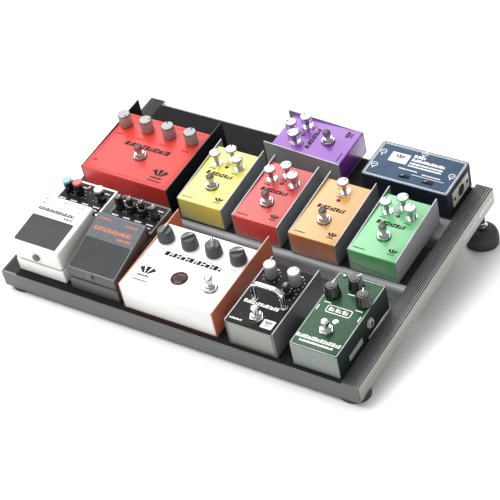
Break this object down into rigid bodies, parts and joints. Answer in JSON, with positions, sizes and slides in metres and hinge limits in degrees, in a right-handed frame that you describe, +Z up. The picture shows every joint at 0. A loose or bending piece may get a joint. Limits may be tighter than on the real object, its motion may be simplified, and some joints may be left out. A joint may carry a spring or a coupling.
{
  "type": "pedalboard",
  "caption": "Raked aluminium board on rubber feet, carrying two rows of guitar effect pedals held by loop tape.",
  "frame": {"origin": "on the floor, below the middle of the whole object's box", "axes": "+X to the player's right along the board's width, +Y away from the player towards the raised rear, +Z up"},
  "size_m": [0.538, 0.3624, 0.1347],
  "materials": {
    "rail_face": "satin anodised, fine lengthwise brushing",
    "rail_side": "ribbed extrusion, satin grey anodised with dark grooves",
    "bar": "plain anodised extrusion",
    "loop": "black loop tape",
    "foot_rubber": "moulded rubber",
    "bright_steel": "bright plated steel",
    "white_enamel": "gloss white enamel",
    "graphite_enamel": "metallic graphite enamel",
    "red_enamel": "satin red powder coat",
    "yellow_enamel": "satin yellow powder coat",
    "orange_enamel": "satin orange powder coat",
    "green_enamel": "satin green powder coat",
    "purple_enamel": "satin purple powder coat",
    "black_enamel": "satin black with silver print",
    "sparkle_green": "dark green sparkle paint",
    "navy_enamel": "satin navy",
    "cheek_grey": "fine grey hammer paint",
    "cheek_brown": "fine brown paint",
    "base": "black zinc",
    "circuit": "green laminate",
    "clear_knob": "clear acrylic with a silver core",
    "silver_knob": "turned aluminium",
    "grey_knob": "matt grey phenolic",
    "black_knob": "gloss black"
  },
  "bodies": {
    "board": {"front_rail": "rail_face", "side_rails": "rail_side", "middle_rail": "bar", "rear_rail": "bar", "loop_tape": "loop", "front_feet": "foot_rubber", "frame_screws": "bright_steel", "white_compact_case": "white_enamel", "grey_compact_case": "graphite_enamel", "tube_drive_cover": "white_enamel", "lead_drive_cover": "red_enamel", "yellow_cover": "yellow_enamel", "red_cover": "red_enamel", "orange_cover": "orange_enamel", "green_cover": "green_enamel", "purple_cover": "purple_enamel", "metal_cover": "black_enamel", "delay_case": "sparkle_green", "junction_case": "navy_enamel", "small_chassis": "cheek_grey", "wide_chassis": "cheek_brown", "base_plates": "base", "circuit_boards": "circuit", "panel_bushes": "bright_steel", "guard_bar": "bright_steel", "mini_knobs": "black_knob"},
    "foot_left": {"rear_foot_left": "foot_rubber"},
    "foot_right": {"rear_foot_right": "foot_rubber"},
    "white_treadle": {"white_treadle": "white_enamel"},
    "grey_treadle": {"grey_treadle": "graphite_enamel"},
    "tube_plunger": {"tube_plunger": "bright_steel"},
    "lead_plunger": {"lead_plunger": "bright_steel"},
    "yellow_plunger": {"yellow_plunger": "bright_steel"},
    "red_plunger": {"red_plunger": "bright_steel"},
    "orange_plunger": {"orange_plunger": "bright_steel"},
    "green_plunger": {"green_plunger": "bright_steel"},
    "purple_plunger": {"purple_plunger": "bright_steel"},
    "metal_plunger": {"metal_plunger": "bright_steel"},
    "delay_plunger": {"delay_plunger": "bright_steel"},
    "green_knob_1": {"green_knob_1": "clear_knob"},
    "green_knob_2": {"green_knob_2": "clear_knob"},
    "green_knob_3": {"green_knob_3": "clear_knob"},
    "lead_knob_1": {"lead_knob_1": "silver_knob"},
    "lead_knob_2": {"lead_knob_2": "silver_knob"},
    "lead_knob_3": {"lead_knob_3": "silver_knob"},
    "lead_knob_4": {"lead_knob_4": "silver_knob"},
    "orange_knob": {"orange_knob": "clear_knob"},
    "purple_knob_1": {"purple_knob_1": "clear_knob"},
    "purple_knob_2": {"purple_knob_2": "clear_knob"},
    "purple_knob_3": {"purple_knob_3": "clear_knob"},
    "red_knob_1": {"red_knob_1": "clear_knob"},
    "red_knob_2": {"red_knob_2": "clear_knob"},
    "red_knob_3": {"red_knob_3": "clear_knob"},
    "tube_knob_1": {"tube_knob_1": "grey_knob"},
    "tube_knob_2": {"tube_knob_2": "grey_knob"},
    "tube_knob_3": {"tube_knob_3": "grey_knob"},
    "tube_knob_4": {"tube_knob_4": "grey_knob"},
    "yellow_knob_1": {"yellow_knob_1": "clear_knob"},
    "yellow_knob_2": {"yellow_knob_2": "clear_knob"},
    "yellow_knob_3": {"yellow_knob_3": "clear_knob"}
  },
  "joints": [
    {"name": "foot_left_height", "type": "slide", "parent": "board", "child": "foot_left", "axis": [0, -0.1392, 0.9903], "range_m": [-0.006, 0.005]},
    {"name": "foot_right_height", "type": "slide", "parent": "board", "child": "foot_right", "axis": [0, -0.1392, 0.9903], "range_m": [-0.006, 0.005]},
    {"name": "white_treadle_press", "type": "hinge", "parent": "board", "child": "white_treadle", "pos_m": [-0.1983, -0.09747, 0.09313], "axis": [1, 0, 0], "range_deg": [0, 2], "stiffness_Nm_per_rad": 8, "springref_deg": -2.86},
    {"name": "grey_treadle_press", "type": "hinge", "parent": "board", "child": "grey_treadle", "pos_m": [-0.1149, -0.09955, 0.09284], "axis": [1, 0, 0], "range_deg": [0, 2], "stiffness_Nm_per_rad": 8, "springref_deg": -2.86},
    {"name": "tube_switch_press", "type": "slide", "parent": "board", "child": "tube_plunger", "axis": [0, 0.1392, -0.9903], "range_m": [0, 0.0025], "stiffness_N_per_m": 800, "springref_m": -0.002},
    {"name": "lead_switch_press", "type": "slide", "parent": "board", "child": "lead_plunger", "axis": [0, 0.1392, -0.9903], "range_m": [0, 0.0025], "stiffness_N_per_m": 800, "springref_m": -0.002},
    {"name": "yellow_switch_press", "type": "slide", "parent": "board", "child": "yellow_plunger", "axis": [0, 0.1392, -0.9903], "range_m": [0, 0.0025], "stiffness_N_per_m": 800, "springref_m": -0.002},
    {"name": "red_switch_press", "type": "slide", "parent": "board", "child": "red_plunger", "axis": [0, 0.1392, -0.9903], "range_m": [0, 0.0025], "stiffness_N_per_m": 800, "springref_m": -0.002},
    {"name": "orange_switch_press", "type": "slide", "parent": "board", "child": "orange_plunger", "axis": [0, 0.1392, -0.9903], "range_m": [0, 0.0025], "stiffness_N_per_m": 800, "springref_m": -0.002},
    {"name": "green_switch_press", "type": "slide", "parent": "board", "child": "green_plunger", "axis": [0, 0.1392, -0.9903], "range_m": [0, 0.0025], "stiffness_N_per_m": 800, "springref_m": -0.002},
    {"name": "purple_switch_press", "type": "slide", "parent": "board", "child": "purple_plunger", "axis": [0, 0.1392, -0.9903], "range_m": [0, 0.0025], "stiffness_N_per_m": 800, "springref_m": -0.002},
    {"name": "metal_switch_press", "type": "slide", "parent": "board", "child": "metal_plunger", "axis": [0, 0.1392, -0.9903], "range_m": [0, 0.0025], "stiffness_N_per_m": 800, "springref_m": -0.002},
    {"name": "delay_switch_press", "type": "slide", "parent": "board", "child": "delay_plunger", "axis": [0, 0.1392, -0.9903], "range_m": [0, 0.0025], "stiffness_N_per_m": 800, "springref_m": -0.002},
    {"name": "green_knob_1_turn", "type": "hinge", "parent": "board", "child": "green_knob_1", "pos_m": [0.1755, 0.04974, 0.10187], "axis": [0, -0.1392, 0.9903], "range_deg": [-165, 135]},
    {"name": "green_knob_2_turn", "type": "hinge", "parent": "board", "child": "green_knob_2", "pos_m": [0.192, 0.06256, 0.10407], "axis": [0, -0.1392, 0.9903], "range_deg": [-100, 200]},
    {"name": "green_knob_3_turn", "type": "hinge", "parent": "board", "child": "green_knob_3", "pos_m": [0.2085, 0.04974, 0.10187], "axis": [0, -0.1392, 0.9903], "range_deg": [-150, 150]},
    {"name": "lead_knob_1_turn", "type": "hinge", "parent": "board", "child": "lead_knob_1", "pos_m": [-0.22445, 0.06856, 0.10809], "axis": [0, -0.1392, 0.9903], "range_deg": [-30, 270]},
    {"name": "lead_knob_2_turn", "type": "hinge", "parent": "board", "child": "lead_knob_2", "pos_m": [-0.18975, 0.06856, 0.10809], "axis": [0, -0.1392, 0.9903], "range_deg": [-90, 210]},
    {"name": "lead_knob_3_turn", "type": "hinge", "parent": "board", "child": "lead_knob_3", "pos_m": [-0.15505, 0.06856, 0.10809], "axis": [0, -0.1392, 0.9903], "range_deg": [-180, 120]},
    {"name": "lead_knob_4_turn", "type": "hinge", "parent": "board", "child": "lead_knob_4", "pos_m": [-0.12035, 0.06856, 0.10809], "axis": [0, -0.1392, 0.9903], "range_deg": [-150, 150]},
    {"name": "orange_knob_turn", "type": "hinge", "parent": "board", "child": "orange_knob", "pos_m": [0.11, 0.06108, 0.10386], "axis": [0, -0.1392, 0.9903], "range_deg": [-130, 170]},
    {"name": "purple_knob_1_turn", "type": "hinge", "parent": "board", "child": "purple_knob_1", "pos_m": [0.005, 0.11906, 0.11162], "axis": [0, -0.1392, 0.9903], "range_deg": [-180, 120]},
    {"name": "purple_knob_2_turn", "type": "hinge", "parent": "board", "child": "purple_knob_2", "pos_m": [-0.008, 0.13535, 0.1143], "axis": [0, -0.1392, 0.9903], "range_deg": [-150, 150]},
    {"name": "purple_knob_3_turn", "type": "hinge", "parent": "board", "child": "purple_knob_3", "pos_m": [0.005, 0.15174, 0.11621], "axis": [0, -0.1392, 0.9903], "range_deg": [-110, 190]},
    {"name": "red_knob_1_turn", "type": "hinge", "parent": "board", "child": "red_knob_1", "pos_m": [0.011, 0.04974, 0.10187], "axis": [0, -0.1392, 0.9903], "range_deg": [-160, 140]},
    {"name": "red_knob_2_turn", "type": "hinge", "parent": "board", "child": "red_knob_2", "pos_m": [0.0275, 0.06256, 0.10407], "axis": [0, -0.1392, 0.9903], "range_deg": [-105, 195]},
    {"name": "red_knob_3_turn", "type": "hinge", "parent": "board", "child": "red_knob_3", "pos_m": [0.044, 0.04974, 0.10187], "axis": [0, -0.1392, 0.9903], "range_deg": [-150, 150]},
    {"name": "tube_knob_1_turn", "type": "hinge", "parent": "board", "child": "tube_knob_1", "pos_m": [-0.055, -0.09285, 0.08542], "axis": [0, -0.1392, 0.9903], "range_deg": [-150, 150]},
    {"name": "tube_knob_2_turn", "type": "hinge", "parent": "board", "child": "tube_knob_2", "pos_m": [-0.02, -0.09285, 0.08542], "axis": [0, -0.1392, 0.9903], "range_deg": [-110, 190]},
    {"name": "tube_knob_3_turn", "type": "hinge", "parent": "board", "child": "tube_knob_3", "pos_m": [0.015, -0.09285, 0.08542], "axis": [0, -0.1392, 0.9903], "range_deg": [-185, 115]},
    {"name": "tube_knob_4_turn", "type": "hinge", "parent": "board", "child": "tube_knob_4", "pos_m": [0.05, -0.09285, 0.08542], "axis": [0, -0.1392, 0.9903], "range_deg": [-90, 210]},
    {"name": "yellow_knob_1_turn", "type": "hinge", "parent": "board", "child": "yellow_knob_1", "pos_m": [-0.0715, 0.05123, 0.10208], "axis": [0, -0.1392, 0.9903], "range_deg": [-120, 180]},
    {"name": "yellow_knob_2_turn", "type": "hinge", "parent": "board", "child": "yellow_knob_2", "pos_m": [-0.055, 0.06405, 0.10428], "axis": [0, -0.1392, 0.9903], "range_deg": [-170, 130]},
    {"name": "yellow_knob_3_turn", "type": "hinge", "parent": "board", "child": "yellow_knob_3", "pos_m": [-0.0385, 0.05123, 0.10208], "axis": [0, -0.1392, 0.9903], "range_deg": [-90, 210]}
  ]
}
